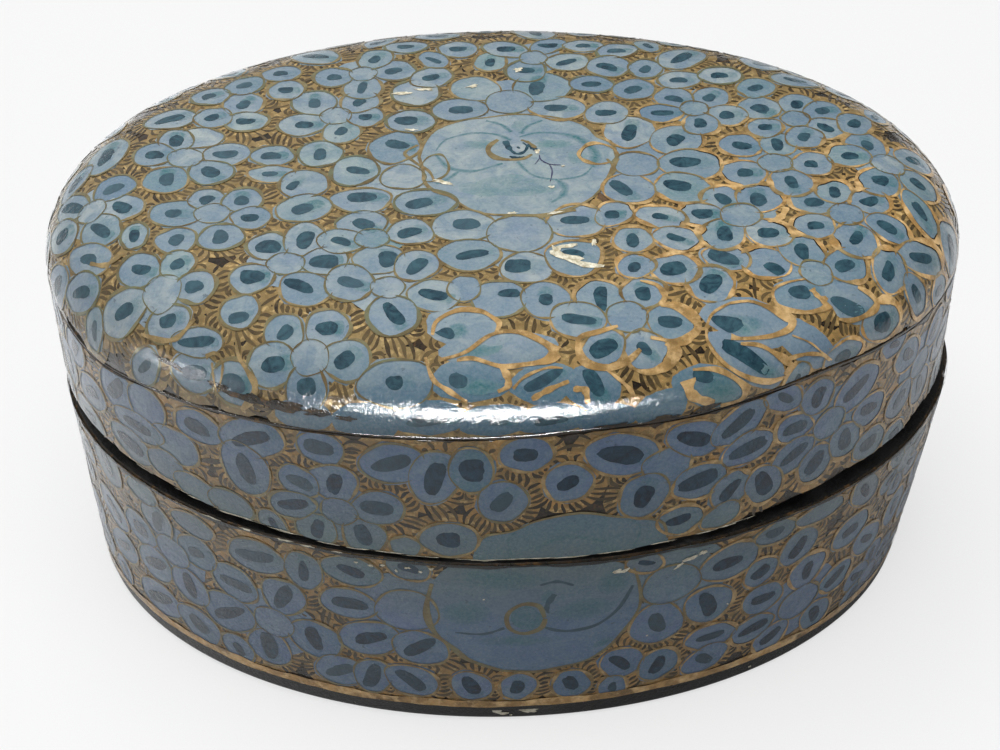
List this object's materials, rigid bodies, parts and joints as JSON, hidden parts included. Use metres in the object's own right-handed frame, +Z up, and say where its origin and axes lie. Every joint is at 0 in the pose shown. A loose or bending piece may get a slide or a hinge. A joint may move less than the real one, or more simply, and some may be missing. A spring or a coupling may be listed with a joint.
{
  "type": "papier mache box",
  "caption": "Oval lacquered papier mache trinket box with a lift-off lid seated on an inner collar, painted all over with close-set blue flowers outlined in gold.",
  "frame": {"origin": "middle of the underside, where the box rests", "axes": "+X along the oval, +Y across it from the front seen in the picture to the back, +Z up"},
  "size_m": [0.116, 0.0838, 0.0583],
  "materials": {
    "painted_top": "gloss lacquer over painting",
    "painted_wall": "satin lacquer over painting",
    "board": "black stained board",
    "black_lining": "black lacquered paper",
    "black_collar": "black lacquer",
    "black_foot": "black lacquer"
  },
  "bodies": {
    "base": {"base_wall_skin": "painted_wall", "base_wall_band": "board", "base_collar": "black_collar", "base_floor_board": "board", "base_floor_lining": "black_lining", "base_foot_skin": "black_foot"},
    "lid": {"lid_top_skin": "painted_top", "lid_top_panel": "board", "lid_ceiling_lining": "black_lining", "lid_wall_skin": "painted_wall", "lid_wall_band": "board", "lid_wall_lining": "black_lining"}
  },
  "joints": [
    {"name": "lid_lift", "type": "slide", "parent": "base", "child": "lid", "axis": [0, 0, 1], "range_m": [0, 0.08]}
  ]
}
